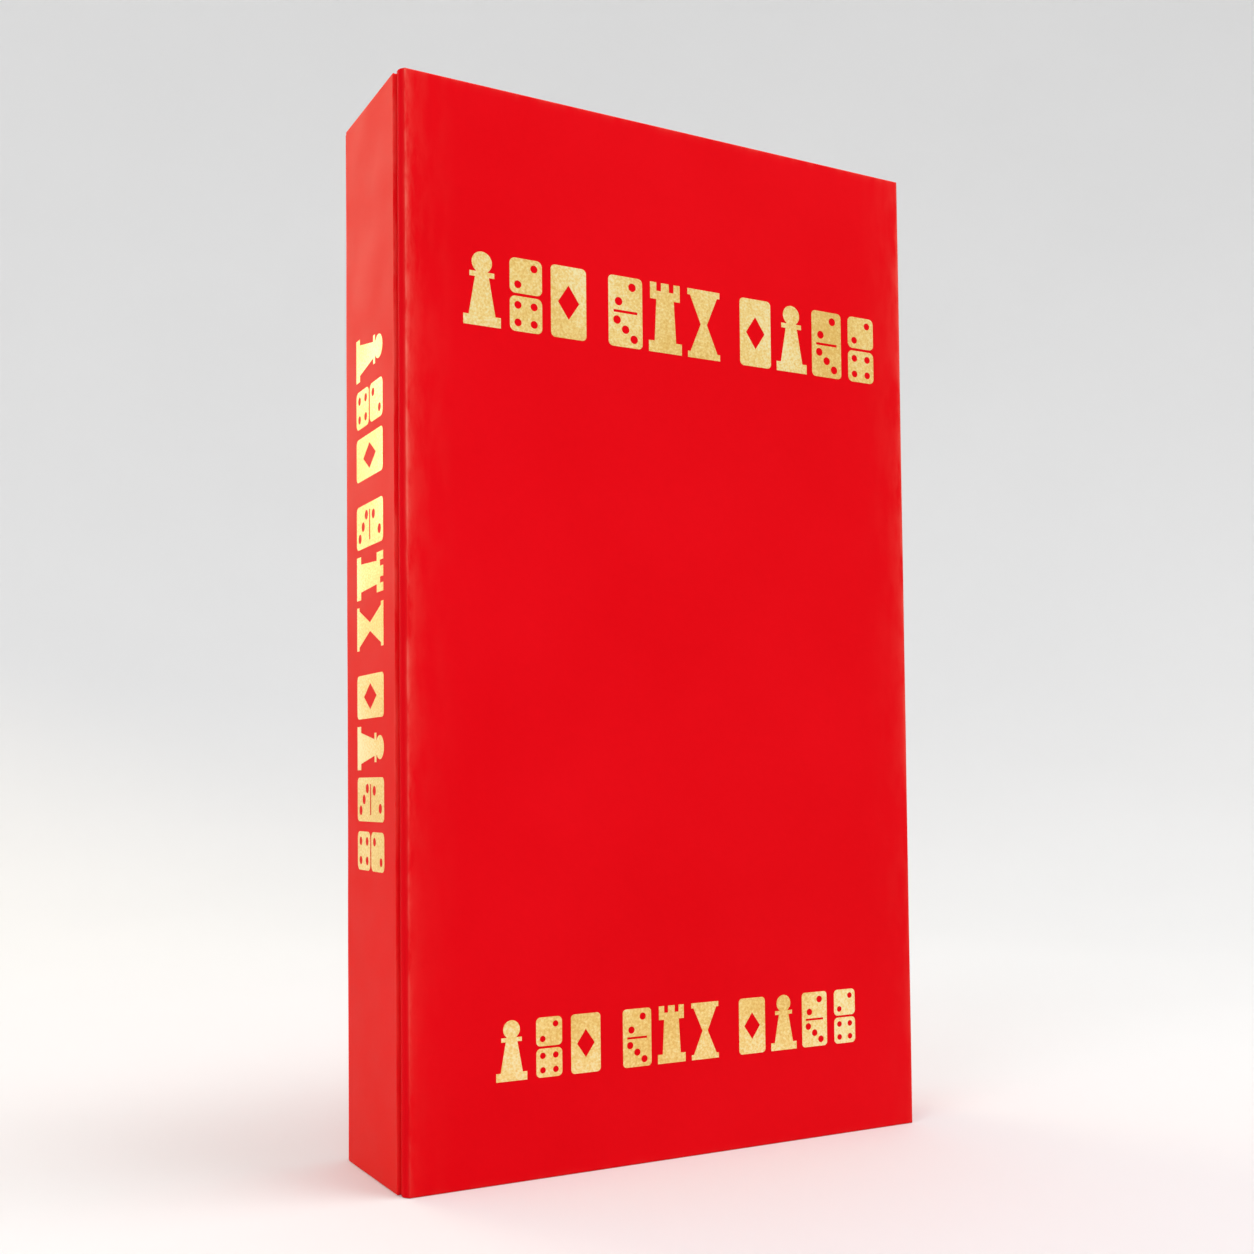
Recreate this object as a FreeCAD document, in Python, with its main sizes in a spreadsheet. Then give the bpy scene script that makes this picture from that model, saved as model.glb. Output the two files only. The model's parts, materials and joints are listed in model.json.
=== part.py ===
import FreeCAD, Part
import Sketcher
import math
import os
import re

# Rigid board game box of the book kind, standing on its short end like a book on a shelf.
# Greyboard panels are wrapped in laminated red paper with gold foil pictures. The back and
# spine panels carry a tray that opens towards the front. The front cover swings on a paper
# web along the spine, and a magnetic flap hangs on the cover's far edge and closes over the
# tray's side.
#
# Frame in millimetres: X along the width (spine at -X), Y along the depth (front cover at
# -Y), Z up. The origin is the centre of the standing end.

SIZES = [
    ("box_height", 400, "outside, along Z"),
    ("box_width", 227, "outside, along X"),
    ("box_depth", 66, "outside, along Y"),
    ("board", 2.0, "greyboard of the case panels"),
    ("wrap", 0.3, "laminated paper over the boards, with its glue"),
    ("lining", 0.2, "lining paper"),
    ("edge_round", 0.8, "rounding of the wrapped edges"),
    ("turn_in", 15, "wrap folded onto the inner side of a panel"),
    ("lining_margin", 3, "lining held back from a panel's free edges"),
    ("hinge_drop", 5.8, "web's run along the depth"),
    ("hinge_setback", 2.5, "web's run along the width"),
    ("web", 0.5, "paper web of a hinge"),
    ("square", 2.0, "case standing out past the tray's two ends"),
    ("lid_gap", 0.5, "tray rim to the cover's lining"),
    ("flap_gap", 0.7, "tray side to the flap's lining"),
    ("flap_end_gap", 1.0, "flap's free edge to the back panel"),
    ("tray_board", 2.0, "greyboard of the tray"),
    ("tape", 0.15, "paper tape over the tray's corners"),
    ("tape_leg", 15, "tape's reach from the corner"),
    ("magnet_radius", 6, "disc magnets in the flap"),
    ("magnet_height", 1.2, "thickness of a magnet"),
    ("magnet_fit", 0.1, "gap around and over a magnet or keeper"),
    ("magnet_pitch", 130, "centre to centre along Z"),
    ("magnet_seat", 30, "magnet centres in front of the back face"),
    ("card", 1.2, "card of the insert and of its wells"),
    ("insert_fit", 0.4, "insert to the tray's lining"),
    ("well_fit", 0.3, "well to its cut-out in the deck"),
    ("deck_height", 38, "insert's deck above the tray's floor"),
    ("deck_border", 22.5, "tray's lining to the nearest wells"),
    ("well_gap", 24, "between neighbouring wells"),
    ("foil", 0.05, "stamped foil standing on the wrap"),
    ("foil_gap", 2.8, "between the pictures of a group"),
    ("foil_group_gap", 9.5, "between groups of pictures"),
    ("upper_foil_height", 27.4, "pictures near the top of the cover"),
    ("upper_foil_start", 21.9, "upper row from the cover's spine end"),
    ("upper_foil_end", 13.5, "upper row from the cover's flap end"),
    ("upper_foil_drop", 75.8, "middle of the upper row below the top"),
    ("lower_foil_height", 21.8, "pictures near the foot of the cover"),
    ("lower_foil_start", 32.9, "lower row from the cover's spine end"),
    ("lower_foil_end", 28.4, "lower row from the cover's flap end"),
    ("lower_foil_rise", 47.4, "middle of the lower row above the foot"),
    ("spine_foil_start", 87, "spine's row from the top"),
    ("spine_foil_end", 111, "spine's row from the foot"),
    ("spine_foil_front", 12, "spine's row from the spine's front crease"),
    ("spine_foil_back", 12.4, "spine's row from the spine's back crease"),
]

# Sums of the sheet's values that several pieces share, all in the frame of the box.
SUMS = {
    "bare_panel": "(board + 2 * wrap)",
    "lined_panel": "(bare_panel + lining)",
    "web_run": "sqrt(hinge_drop ^ 2 + hinge_setback ^ 2)",
    "web_skew": "(web * web_run)",
    "cover_length": "(box_width - 2 * hinge_setback)",
    "spine_length": "(box_depth - 2 * hinge_drop)",
    "back_length": "(box_width - hinge_setback)",
    "flap_length": "(box_depth - hinge_drop - bare_panel - flap_end_gap)",
    "tray_left": "(-box_width / 2 + bare_panel)",
    "tray_right": "(box_width / 2 - lined_panel - flap_gap)",
    "tray_back": "(box_depth / 2 - bare_panel)",
    "tray_rim": "(-box_depth / 2 + lined_panel + lid_gap)",
    "tray_foot": "square",
    "tray_top": "(box_height - square)",
    "tray_width": "(tray_right - tray_left)",
    "tray_height": "(tray_top - tray_foot)",
    "tray_wall": "(tray_board + 2 * wrap)",
    "floor_level": "(tray_back - tray_board - lining)",
    "room_left": "(tray_left + tray_wall)",
    "room_right": "(tray_right - tray_wall)",
    "room_foot": "(tray_foot + tray_wall)",
    "room_top": "(tray_top - tray_wall)",
    "deck_level": "(floor_level - deck_height)",
    "well_length": "((room_top - room_foot - 2 * deck_border - 2 * well_gap) / 3)",
    "well_pitch": "(well_length + well_gap)",
    "wide_well": "(room_right - room_left - 2 * deck_border)",
    "card_well": "((wide_well - well_gap) / 2)",
    "first_well_left": "(room_left + deck_border)",
    "first_well_foot": "(room_foot + deck_border)",
    "magnet_level": "(box_depth / 2 - magnet_seat)",
}

doc = FreeCAD.newDocument("BoardGameBox")
sheet = doc.addObject("Spreadsheet::Sheet", "Sheet")
subparts = []


def fill_sheet():
    """Write every driving size into the sheet under its own alias."""
    for row, (alias, number, note) in enumerate(SIZES, start=1):
        sheet.set(f"A{row}", alias)
        sheet.set(f"B{row}", str(number))
        sheet.set(f"C{row}", note)
        sheet.setAlias(f"B{row}", alias)
    doc.recompute()


def size(alias):
    """A driving size as a number."""
    return float(sheet.get(alias))


def bound(text):
    """A sum of names as an expression that reads the sheet."""
    names = {alias for alias, _, _ in SIZES}

    def swap(match):
        word = match.group(0)
        if word in SUMS:
            return bound(SUMS[word])
        return f"Sheet.{word}" if word in names else word

    return re.sub(r"[a-z_]+", swap, str(text))


def move(thing, corner, turn=(0, 0, 1, 0)):
    """Turn a thing about an axis (x, y, z, degrees) and bind its base point to the sheet."""
    axis = FreeCAD.Vector(*turn[:3])
    thing.Placement = FreeCAD.Placement(FreeCAD.Vector(), FreeCAD.Rotation(axis, turn[3]))
    for letter, text in zip("xyz", corner):
        thing.setExpression(f"Placement.Base.{letter}", bound(text))


def bind(thing, **sums):
    """Bind properties of a thing to sums of the sheet's values."""
    for name, text in sums.items():
        thing.setExpression(name, bound(text))


def keep(thing, label):
    """Name a finished sub-part."""
    thing.Label = label
    subparts.append(thing)
    return thing


def solid_box(name, lengths, corner=("0", "0", "0")):
    """A Part box with its size and corner bound to the sheet."""
    box = doc.addObject("Part::Box", name)
    bind(box, Length=lengths[0], Width=lengths[1], Height=lengths[2])
    move(box, corner)
    return box


def new_body(name):
    return doc.addObject("PartDesign::Body", name)


def body_box(body, kind, lengths, corner=("0", "0", "0")):
    """Add ('Additive') or take away ('Subtractive') a box in a body."""
    box = body.newObject(f"PartDesign::{kind}Box", f"{body.Name}{kind}")
    bind(box, Length=lengths[0], Width=lengths[1], Height=lengths[2])
    move(box, corner)
    doc.recompute()
    return box


def plane_sketch(body, role, name):
    """A sketch on one of the body's own origin planes."""
    plane = next(item for item in body.Origin.OriginFeatures if item.Role == role)
    sketch = body.newObject("Sketcher::SketchObject", name)
    sketch.AttachmentSupport = [(plane, "")]
    sketch.MapMode = "FlatFace"
    return sketch


def draw_outline(sketch, points):
    """A closed outline whose corners are bound to sums of the sheet's values."""
    count = len(points)
    for index in range(count):
        start = FreeCAD.Vector(index, index * index, 0)
        end = FreeCAD.Vector(index + 1, (index + 1) ** 2, 0)
        sketch.addGeometry(Part.LineSegment(start, end), False)
    for index in range(count):
        sketch.addConstraint(Sketcher.Constraint("Coincident", index, 2, (index + 1) % count, 1))
    for index, corner in enumerate(points):
        for kind, text in zip(("DistanceX", "DistanceY"), corner):
            number = sketch.addConstraint(Sketcher.Constraint(kind, index, 1, 1.0 + index))
            sketch.setExpression(f"Constraints[{number}]", bound(text))


def long_edges(shape, length, free_end):
    """Names of a panel block's edges that the wrap folds round: its head and tail, and the
    free end's rim when it has one."""
    names = []
    for number, edge in enumerate(shape.Edges, start=1):
        box = edge.BoundBox
        along = box.XLength > 0.5 * length
        at_free_end = free_end and box.XMin > length - 0.01
        if along or at_free_end:
            names.append(f"Edge{number}")
    return names


def wrapped_panel(name, length, free_end, corner, turn):
    """The wrap and the board of one case panel.

    Its own frame has X along the panel from a hinge end, Y from the outer face inwards and Z
    up. The wrap is open where a web joins the panel, and closed round a free end."""
    reach = f"({length} - wrap)" if free_end else length
    window = f"({length} - turn_in)" if free_end else length
    body = new_body(f"{name}Wrap")
    block = body_box(body, "Additive", (length, "bare_panel", "box_height"))
    rounding = body.newObject("PartDesign::Fillet", f"{name}Round")
    rounding.Base = (block, long_edges(block.Shape, block.Length.Value, free_end))
    bind(rounding, Radius="edge_round")
    doc.recompute()
    body_box(body, "Subtractive", (reach, "board", "box_height - 2 * wrap"), ("0", "wrap", "wrap"))
    body_box(body, "Subtractive", (window, "wrap", "box_height - 2 * turn_in"),
             ("0", "wrap + board", "turn_in"))
    move(body, corner, turn)
    keep(body, f"{name.lower()}_wrap")

    board = new_body(f"{name}Board")
    core = body_box(board, "Additive", (reach, "board", "box_height - 2 * wrap"), ("0", "wrap", "wrap"))
    move(board, corner, turn)
    keep(board, f"{name.lower()}_board")
    return board, core


def panel_lining(name, length, free_end, corner, turn):
    """Lining pasted over the turn-ins of a panel and sunk onto its board between them."""
    window = f"({length} - turn_in)" if free_end else length
    sunk = f"({window} - lining)" if free_end else length
    spread = f"({length} - lining_margin)" if free_end else length
    body = new_body(f"{name}Lining")
    body_box(body, "Additive", (spread, "lining", "box_height - 2 * lining_margin"),
             ("0", "bare_panel", "lining_margin"))
    body_box(body, "Additive", (window, "wrap", "box_height - 2 * turn_in"),
             ("0", "wrap + board", "turn_in"))
    body_box(body, "Subtractive", (sunk, "wrap", "box_height - 2 * turn_in - 2 * lining"),
             ("0", "wrap + board + lining", "turn_in + lining"))
    move(body, corner, turn)
    keep(body, f"{name.lower()}_lining")


def hinge_web(label, corner, turn):
    """Paper web from the spine's edge to a cover's edge, cut flush with both."""
    body = new_body("Web")
    sketch = plane_sketch(body, "XY_Plane", "WebOutline")
    draw_outline(sketch, [
        ("-box_width / 2", "-box_depth / 2 + hinge_drop"),
        ("-box_width / 2 + hinge_setback", "-box_depth / 2"),
        ("-box_width / 2 + hinge_setback", "-box_depth / 2 + web_skew / hinge_setback"),
        ("-box_width / 2 + web_skew / hinge_drop", "-box_depth / 2 + hinge_drop"),
    ])
    pad = body.newObject("PartDesign::Pad", "WebPad")
    pad.Profile = sketch
    bind(pad, Length="box_height")
    move(body, corner, turn)
    keep(body, label)


def disc_row(label, holder_radius, holder_height, corner, turn):
    """Three discs in a row along Z, standing up from their corner point along local Z."""
    discs = []
    for step in (-1, 0, 1):
        disc = doc.addObject("Part::Cylinder", "Disc")
        bind(disc, Radius=holder_radius, Height=holder_height)
        x, y, z = corner
        move(disc, (x, y, f"{z} + {step} * magnet_pitch"), turn)
        discs.append(disc)
    row = doc.addObject("Part::Compound", "DiscRow")
    row.Links = discs
    if label:
        keep(row, label)
    return row


def case_panels():
    """Front, spine, back and flap panels round the tray."""
    level = (0, 0, 1, 0)
    front = ("-cover_length / 2", "-box_depth / 2", "0")
    wrapped_panel("Front", "cover_length", False, front, level)
    panel_lining("Front", "cover_length", False, front, level)

    spine = ("-box_width / 2", "spine_length / 2", "0")
    wrapped_panel("Spine", "spine_length", False, spine, (0, 0, 1, -90))

    back = ("-box_width / 2 + hinge_setback", "box_depth / 2", "box_height")
    wrapped_panel("Back", "back_length", True, back, (1, 0, 0, 180))

    flap = ("box_width / 2", "-box_depth / 2 + hinge_drop", "0")
    flap_turn = (0, 0, 1, 90)
    board, core = wrapped_panel("Flap", "flap_length", True, flap, flap_turn)
    magnet_pockets(board, core)
    panel_lining("Flap", "flap_length", True, flap, flap_turn)


def magnet_pockets(board, core):
    """Three round pockets in the flap board, sunk from its inner side."""
    sketch = plane_sketch(board, "XZ_Plane", "PocketCentres")
    sketch.addGeometry(Part.Circle(FreeCAD.Vector(30, 200, 0), FreeCAD.Vector(0, 0, 1), 6), False)
    for kind, text in (
        ("DistanceX", "magnet_level + box_depth / 2 - hinge_drop"),
        ("DistanceY", "box_height / 2 - magnet_pitch"),
    ):
        number = sketch.addConstraint(Sketcher.Constraint(kind, 0, 3, 10.0))
        sketch.setExpression(f"Constraints[{number}]", bound(text))
    number = sketch.addConstraint(Sketcher.Constraint("Radius", 0, 6.0))
    sketch.setExpression(f"Constraints[{number}]", bound("magnet_radius + magnet_fit"))
    sketch.AttachmentOffset = FreeCAD.Placement()
    sketch.setExpression("AttachmentOffset.Base.z", bound("-(wrap + board)"))
    before = core.Shape.Volume
    pocket = board.newObject("PartDesign::Pocket", "MagnetPocket")
    pocket.Profile = sketch
    pocket.Reversed = True
    bind(pocket, Length="magnet_height + magnet_fit")
    doc.recompute()
    rows = board.newObject("PartDesign::LinearPattern", "MagnetPockets")
    rows.Originals = [pocket]
    rows.Direction = (sketch, ["V_Axis"])
    bind(rows, Length="2 * magnet_pitch")
    rows.Occurrences = 3
    board.Tip = rows
    doc.recompute()
    radius = size("magnet_radius") + size("magnet_fit")
    one = math.pi * radius ** 2 * (size("magnet_height") + size("magnet_fit"))
    taken = before - board.Shape.Volume
    if abs(taken - 3 * one) > 1:
        raise RuntimeError(f"magnet pockets took {taken:.1f} mm3")


def flap_magnets():
    """Magnets glued to the floor of the flap's pockets."""
    floor = "box_width / 2 - wrap - board + magnet_height + magnet_fit"
    disc_row("flap_magnets", "magnet_radius", "magnet_height",
             (floor, "magnet_level", "box_height / 2"), (0, 1, 0, -90))


def tray():
    """Five greyboards taped at the corners and wrapped inside and out."""
    inner_left = "tray_left + wrap"
    inner_foot = "tray_foot + wrap"
    width = "tray_width - 2 * wrap"
    height = "tray_height - 2 * wrap"
    rise = "tray_back - tray_board - tray_rim - wrap"
    crest = "tray_rim + wrap"
    base = keep(solid_box("TrayBase", (width, "tray_board", height),
                          (inner_left, "tray_back - tray_board", inner_foot)), "tray_base_board")
    left = keep(solid_box("TrayLeft", ("tray_board", rise, height),
                          (inner_left, crest, inner_foot)), "tray_spine_wall_board")
    right = solid_box("TrayRight", ("tray_board", rise, height),
                      ("tray_right - wrap - tray_board", crest, inner_foot))
    short = ("tray_width - 2 * wrap - 2 * tray_board", rise, "tray_board")
    foot = keep(solid_box("TrayFoot", short, ("tray_left + wrap + tray_board", crest, inner_foot)),
                "tray_bottom_wall_board")
    head = keep(solid_box("TrayHead", short, ("tray_left + wrap + tray_board", crest,
                                              "tray_top - wrap - tray_board")), "tray_top_wall_board")
    keepers(right)
    tapes = corner_tapes()
    tray_wrap([base, left, right, foot, head] + tapes)
    floor = ("room_right - room_left", "lining", "room_top - room_foot")
    keep(solid_box("TrayFloor", floor, ("room_left", "floor_level", "room_foot")), "tray_floor_lining")


def keepers(wall):
    """Steel discs let into the tray's side, facing the flap's magnets."""
    face = "tray_right - wrap"
    deep = "magnet_height + magnet_fit"
    recess = disc_row(None, "magnet_radius + magnet_fit", deep,
                      (f"{face}", "magnet_level", "box_height / 2"), (0, 1, 0, -90))
    board = doc.addObject("Part::Cut", "TrayKeeperWall")
    board.Base = wall
    board.Tool = recess
    keep(board, "tray_flap_wall_board")
    disc_row("keeper_discs", "magnet_radius", "magnet_height",
             (f"{face} - magnet_fit", "magnet_level", "box_height / 2"), (0, 1, 0, -90))


def corner_tapes():
    """An angle of paper tape over each upright corner of the tray's boards."""
    corners = {
        "spine_bottom": ("tray_left + wrap", "tray_foot + wrap", 0),
        "spine_top": ("tray_left + wrap", "tray_top - wrap", 90),
        "flap_top": ("tray_right - wrap", "tray_top - wrap", 180),
        "flap_bottom": ("tray_right - wrap", "tray_foot + wrap", 270),
    }
    rise = "tray_back - tray_rim - wrap"
    tapes = []
    for name, (x, z, angle) in corners.items():
        body = new_body("Tape")
        body_box(body, "Additive", ("tape_leg + tape", rise, "tape_leg + tape"),
                 ("-tape", "0", "-tape"))
        body_box(body, "Subtractive", ("tape_leg", rise, "tape_leg"))
        move(body, (x, "tray_rim + wrap", z), (0, 1, 0, angle))
        tapes.append(keep(body, f"tape_{name}"))
    return tapes


def tray_wrap(covered):
    """Paper over the tray's outside, its rim and down its inside walls."""
    block = solid_box("WrapBlock", ("tray_width", "tray_back - tray_rim", "tray_height"),
                      ("tray_left", "tray_rim", "tray_foot"))
    room = solid_box("WrapRoom", ("room_right - room_left", "tray_back - tray_rim",
                                  "room_top - room_foot"), ("room_left", "tray_rim", "room_foot"))
    inside = doc.addObject("Part::MultiFuse", "WrapInside")
    inside.Shapes = covered + [room]
    paper = doc.addObject("Part::Cut", "TrayPaper")
    paper.Base = block
    paper.Tool = inside
    keep(paper, "tray_wrap")


def wells():
    """Name, left edge, foot and length along X of each well of the insert."""
    left = "first_well_left"
    foot = "first_well_foot"
    return [
        ("wide_well_bottom", left, foot, "wide_well"),
        ("card_well_spine_side", left, f"({foot} + well_pitch)", "card_well"),
        ("card_well_flap_side", f"({left} + card_well + well_gap)", f"({foot} + well_pitch)", "card_well"),
        ("wide_well_top", left, f"({foot} + 2 * well_pitch)", "wide_well"),
    ]


def insert():
    """A folded card deck on four skirts, with wells glued to the floor under its cut-outs."""
    deck = new_body("Deck")
    length = "(room_right - room_left - 2 * insert_fit)"
    height = "(room_top - room_foot - 2 * insert_fit)"
    left = "(room_left + insert_fit)"
    foot = "(room_foot + insert_fit)"
    body_box(deck, "Additive", (length, "deck_height", height), (left, "deck_level", foot))
    body_box(deck, "Subtractive", (f"{length} - 2 * card", "deck_height - card", f"{height} - 2 * card"),
             (f"{left} + card", "deck_level + card", f"{foot} + card"))
    for name, x, z, width in wells():
        body_box(deck, "Subtractive", (f"{width} + 2 * well_fit", "card", "well_length + 2 * well_fit"),
                 (f"{x} - well_fit", "deck_level", f"{z} - well_fit"))
    keep(deck, "insert_deck")
    for name, x, z, width in wells():
        well = new_body("Well")
        body_box(well, "Additive", (width, "deck_height", "well_length"), (x, "deck_level", z))
        body_box(well, "Subtractive", (f"{width} - 2 * card", "deck_height - card", "well_length - 2 * card"),
                 (f"{x} + card", "deck_level", f"{z} + card"))
        keep(well, name)


def prism(points, lift):
    """A flat outline in XY raised by lift."""
    corners = [FreeCAD.Vector(x, y, 0) for x, y in points]
    return Part.Face(Part.makePolygon(corners + corners[:1])).extrude(FreeCAD.Vector(0, 0, lift))


def slab(width, height, lift, x=0.0, y=0.0):
    """A rectangle centred on (x, y)."""
    corner = FreeCAD.Vector(x - width / 2, y - height / 2, 0)
    return Part.makeBox(width, height, lift, corner)


def coin(radius, lift, x=0.0, y=0.0):
    """A disc centred on (x, y)."""
    return Part.makeCylinder(radius, lift, FreeCAD.Vector(x, y, 0))


def rounded(width, height, radius, lift, y=0.0):
    """A rectangle with round corners, centred on (0, y)."""
    plain = slab(width, height, lift, 0.0, y)
    upright = [edge for edge in plain.Edges if edge.BoundBox.ZLength > lift / 2]
    return plain.makeFillet(radius, upright)


def domino(width, height, lift):
    """A tile with a bar across it, two pips above and three below."""
    pip = width / 9
    holes = [slab(0.7 * width, height / 26, lift)]
    holes += [coin(pip, lift, side * width / 5, height / 4 + side * height / 9) for side in (-1, 1)]
    holes += [coin(pip, lift, side * width / 4, -height / 4 - side * height / 8) for side in (-1, 0, 1)]
    return rounded(width, height, width / 8, lift).cut(holes)


def pawn(width, height, lift):
    """A round head on a collar, a waisted body that runs up into the head, and a foot."""
    low = -height / 2
    neck = height / 2 - 0.27 * width
    head = coin(0.27 * width, lift, 0.0, neck)
    collar = slab(0.66 * width, 0.07 * height, lift, 0.0, neck - 0.3 * width)
    trunk = prism([(-0.36 * width, low + 0.13 * height), (0.36 * width, low + 0.13 * height),
                   (0.12 * width, neck), (-0.12 * width, neck)], lift)
    foot = slab(width, 0.14 * height, lift, 0.0, low + 0.07 * height)
    return head.fuse([collar, trunk, foot]).removeSplitter()


def playing_card(width, height, lift):
    """A card with a diamond cut out of its middle."""
    diamond = prism([(0, -0.24 * height), (0.3 * width, 0), (0, 0.24 * height), (-0.3 * width, 0)], lift)
    return rounded(width, height, width / 8, lift).cut(diamond)


def hourglass(width, height, lift):
    """Two glass bulbs between two plates."""
    plate = 0.09 * height
    bulb = height / 2 - plate
    plates = [slab(width, plate, lift, 0.0, side * (height - plate) / 2) for side in (-1, 1)]
    bulbs = [prism([(-0.42 * width, side * bulb), (0.42 * width, side * bulb),
                    (0.08 * width, -side * 0.02 * height), (-0.08 * width, -side * 0.02 * height)], lift)
             for side in (-1, 1)]
    return plates[0].fuse([plates[1]] + bulbs).removeSplitter()


def rook(width, height, lift):
    """A tower with three merlons, a straight body and a foot."""
    low = -height / 2
    crown = slab(0.9 * width, 0.24 * height, lift, 0.0, height / 2 - 0.12 * height)
    notches = [slab(0.14 * width, 0.12 * height, lift, side * 0.19 * width, height / 2 - 0.06 * height)
               for side in (-1, 1)]
    trunk = prism([(-0.33 * width, low + 0.1 * height), (0.33 * width, low + 0.1 * height),
                   (0.26 * width, 0.3 * height), (-0.26 * width, 0.3 * height)], lift)
    foot = slab(width, 0.16 * height, lift, 0.0, low + 0.08 * height)
    return crown.cut(notches).fuse([trunk, foot]).removeSplitter()


def dice_pair(width, height, lift):
    """Two dice, one over the other, showing two and four pips."""
    side = min(width, 0.48 * height)
    middle = (height - side) / 2
    pip = side / 9
    upper = rounded(side, side, side / 6, lift, middle)
    upper = upper.cut([coin(pip, lift, way * side / 4, middle + way * side / 4) for way in (-1, 1)])
    lower = rounded(side, side, side / 6, lift, -middle)
    lower = lower.cut([coin(pip, lift, across * side / 4, -middle + up * side / 4)
                       for across in (-1, 1) for up in (-1, 1)])
    return Part.makeCompound([upper, lower])


GROUPS = [
    [pawn, dice_pair, playing_card],
    [domino, rook, hourglass],
    [playing_card, pawn, domino, dice_pair],
]


def foil_row(label, length, height, turn, middle):
    """A row of pictures in three groups, centred on middle and turned onto its panel.

    The pictures are drawn in XY with their tops towards +Y and raised along +Z."""
    gap = size("foil_gap")
    group_gap = size("foil_group_gap")
    count = sum(len(group) for group in GROUPS)
    gaps = (count - len(GROUPS)) * gap + (len(GROUPS) - 1) * group_gap
    width = (length - gaps) / count
    x = (width - length) / 2
    pictures = []
    for group in GROUPS:
        for picture in group:
            shape = picture(width, height, size("foil"))
            shape.translate(FreeCAD.Vector(x, 0, 0))
            pictures += shape.Solids
            x += width + gap
        x += group_gap - gap
    row = doc.addObject("Part::Feature", "Foil")
    row.Shape = Part.makeCompound(pictures)
    row.Placement = FreeCAD.Placement(FreeCAD.Vector(*middle), turn)
    keep(row, label)


def foil():
    """Gold pictures in two rows on the cover and one down the spine."""
    tall = size("box_height")
    front = -size("box_depth") / 2
    cover_end = size("box_width") / 2 - size("hinge_setback")
    facing_front = FreeCAD.Rotation(FreeCAD.Vector(1, 0, 0), 90)
    levels = {"upper": tall - size("upper_foil_drop"), "lower": size("lower_foil_rise")}
    for place, level in levels.items():
        start = size(f"{place}_foil_start") - cover_end
        end = cover_end - size(f"{place}_foil_end")
        foil_row(f"foil_cover_{place}", end - start, size(f"{place}_foil_height"),
                 facing_front, ((start + end) / 2, front, level))

    down_spine = FreeCAD.Rotation(FreeCAD.Vector(0, 0, -1), FreeCAD.Vector(0, -1, 0),
                                  FreeCAD.Vector(-1, 0, 0), "ZXY")
    crease = size("box_depth") / 2 - size("hinge_drop")
    low = size("spine_foil_end")
    high = tall - size("spine_foil_start")
    near = size("spine_foil_front") - crease
    far = crease - size("spine_foil_back")
    foil_row("foil_spine", high - low, far - near, down_spine,
             (-size("box_width") / 2, (near + far) / 2, (low + high) / 2))


def check():
    """Stop if any object failed or any sub-part has no sound shape."""
    for item in doc.Objects:
        if "Invalid" in item.State or "Error" in item.State:
            raise RuntimeError(f"{item.Label} failed: {item.State}")
    for item in subparts:
        if item.Shape.isNull() or not item.Shape.isValid() or not item.Shape.Solids:
            raise RuntimeError(f"{item.Label} has no sound shape")


def write():
    """One STEP file for each sub-part."""
    os.makedirs("parts", exist_ok=True)
    for item in subparts:
        item.Shape.exportStep(f"parts/{item.Label}.step")


fill_sheet()
case_panels()
flap_magnets()
hinge_web("cover_hinge_web", ("0", "0", "0"), (0, 0, 1, 0))
hinge_web("back_hinge_web", ("0", "0", "box_height"), (1, 0, 0, 180))
hinge_web("flap_hinge_web", ("0", "0", "box_height"), (0, 1, 0, 180))
tray()
insert()
foil()
doc.recompute()
check()
write()
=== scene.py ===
import json
import math
import bmesh
import bpy
from mathutils import Matrix, Vector, noise


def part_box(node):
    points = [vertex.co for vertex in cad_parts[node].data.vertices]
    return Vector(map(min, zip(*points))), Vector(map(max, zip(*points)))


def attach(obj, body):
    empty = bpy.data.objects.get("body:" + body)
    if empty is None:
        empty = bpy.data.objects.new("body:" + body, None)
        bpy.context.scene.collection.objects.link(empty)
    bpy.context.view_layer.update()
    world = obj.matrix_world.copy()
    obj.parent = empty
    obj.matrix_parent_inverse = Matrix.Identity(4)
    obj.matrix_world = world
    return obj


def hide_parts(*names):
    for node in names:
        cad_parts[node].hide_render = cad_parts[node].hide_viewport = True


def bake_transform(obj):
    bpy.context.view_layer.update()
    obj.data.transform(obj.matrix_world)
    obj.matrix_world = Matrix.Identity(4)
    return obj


# Looks of a book-style board game box. Units are metres and the frame is the box's own:
# X along the width with the spine at -X, Y along the depth with the cover at -Y, Z up.

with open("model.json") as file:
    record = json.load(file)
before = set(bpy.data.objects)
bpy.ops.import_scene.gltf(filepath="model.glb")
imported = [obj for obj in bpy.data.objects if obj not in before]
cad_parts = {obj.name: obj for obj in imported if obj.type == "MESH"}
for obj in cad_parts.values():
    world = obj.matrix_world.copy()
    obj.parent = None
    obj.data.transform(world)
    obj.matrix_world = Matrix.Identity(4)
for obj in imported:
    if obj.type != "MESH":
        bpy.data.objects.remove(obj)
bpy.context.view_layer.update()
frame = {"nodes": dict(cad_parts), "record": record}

MM = 0.001
CASE = "tray_and_back"
COVER = "front_cover"
FLAP = "side_flap"

# Wrapped panels
EDGE_ROUND = 0.75 * MM      # rounding of a wrapped board's edge
CREASE_ROUND = 0.35 * MM    # tighter edge of a side panel in a hinge's groove
RIDGE_ROUND = 0.6 * MM      # edge of a cover panel under a hinge's paper
LEAST_ROUND = 0.02 * MM     # what is left of a corner's rounding in the innermost outlines
END_SEAM = 0.03 * MM        # half width of the last strip that closes a panel's end
UNEVEN = 0.05 * MM          # greatest hollow of a panel's outer face
UNEVEN_SCALE = 28
UNEVEN_FADE = 4 * MM        # the face is true at its edges and uneven from here on
# How pale the print is painted, (share, reach): at an edge rubbed wear with painted highlight, at
# and beside the hinge painted highlight
EDGE_WEAR_AND_HIGHLIGHT, HINGE_HIGHLIGHT, BROAD_HINGE_HIGHLIGHT = (0.35, 0.7 * MM), (0.5, 0.6 * MM), (0.15, 5 * MM)

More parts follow.
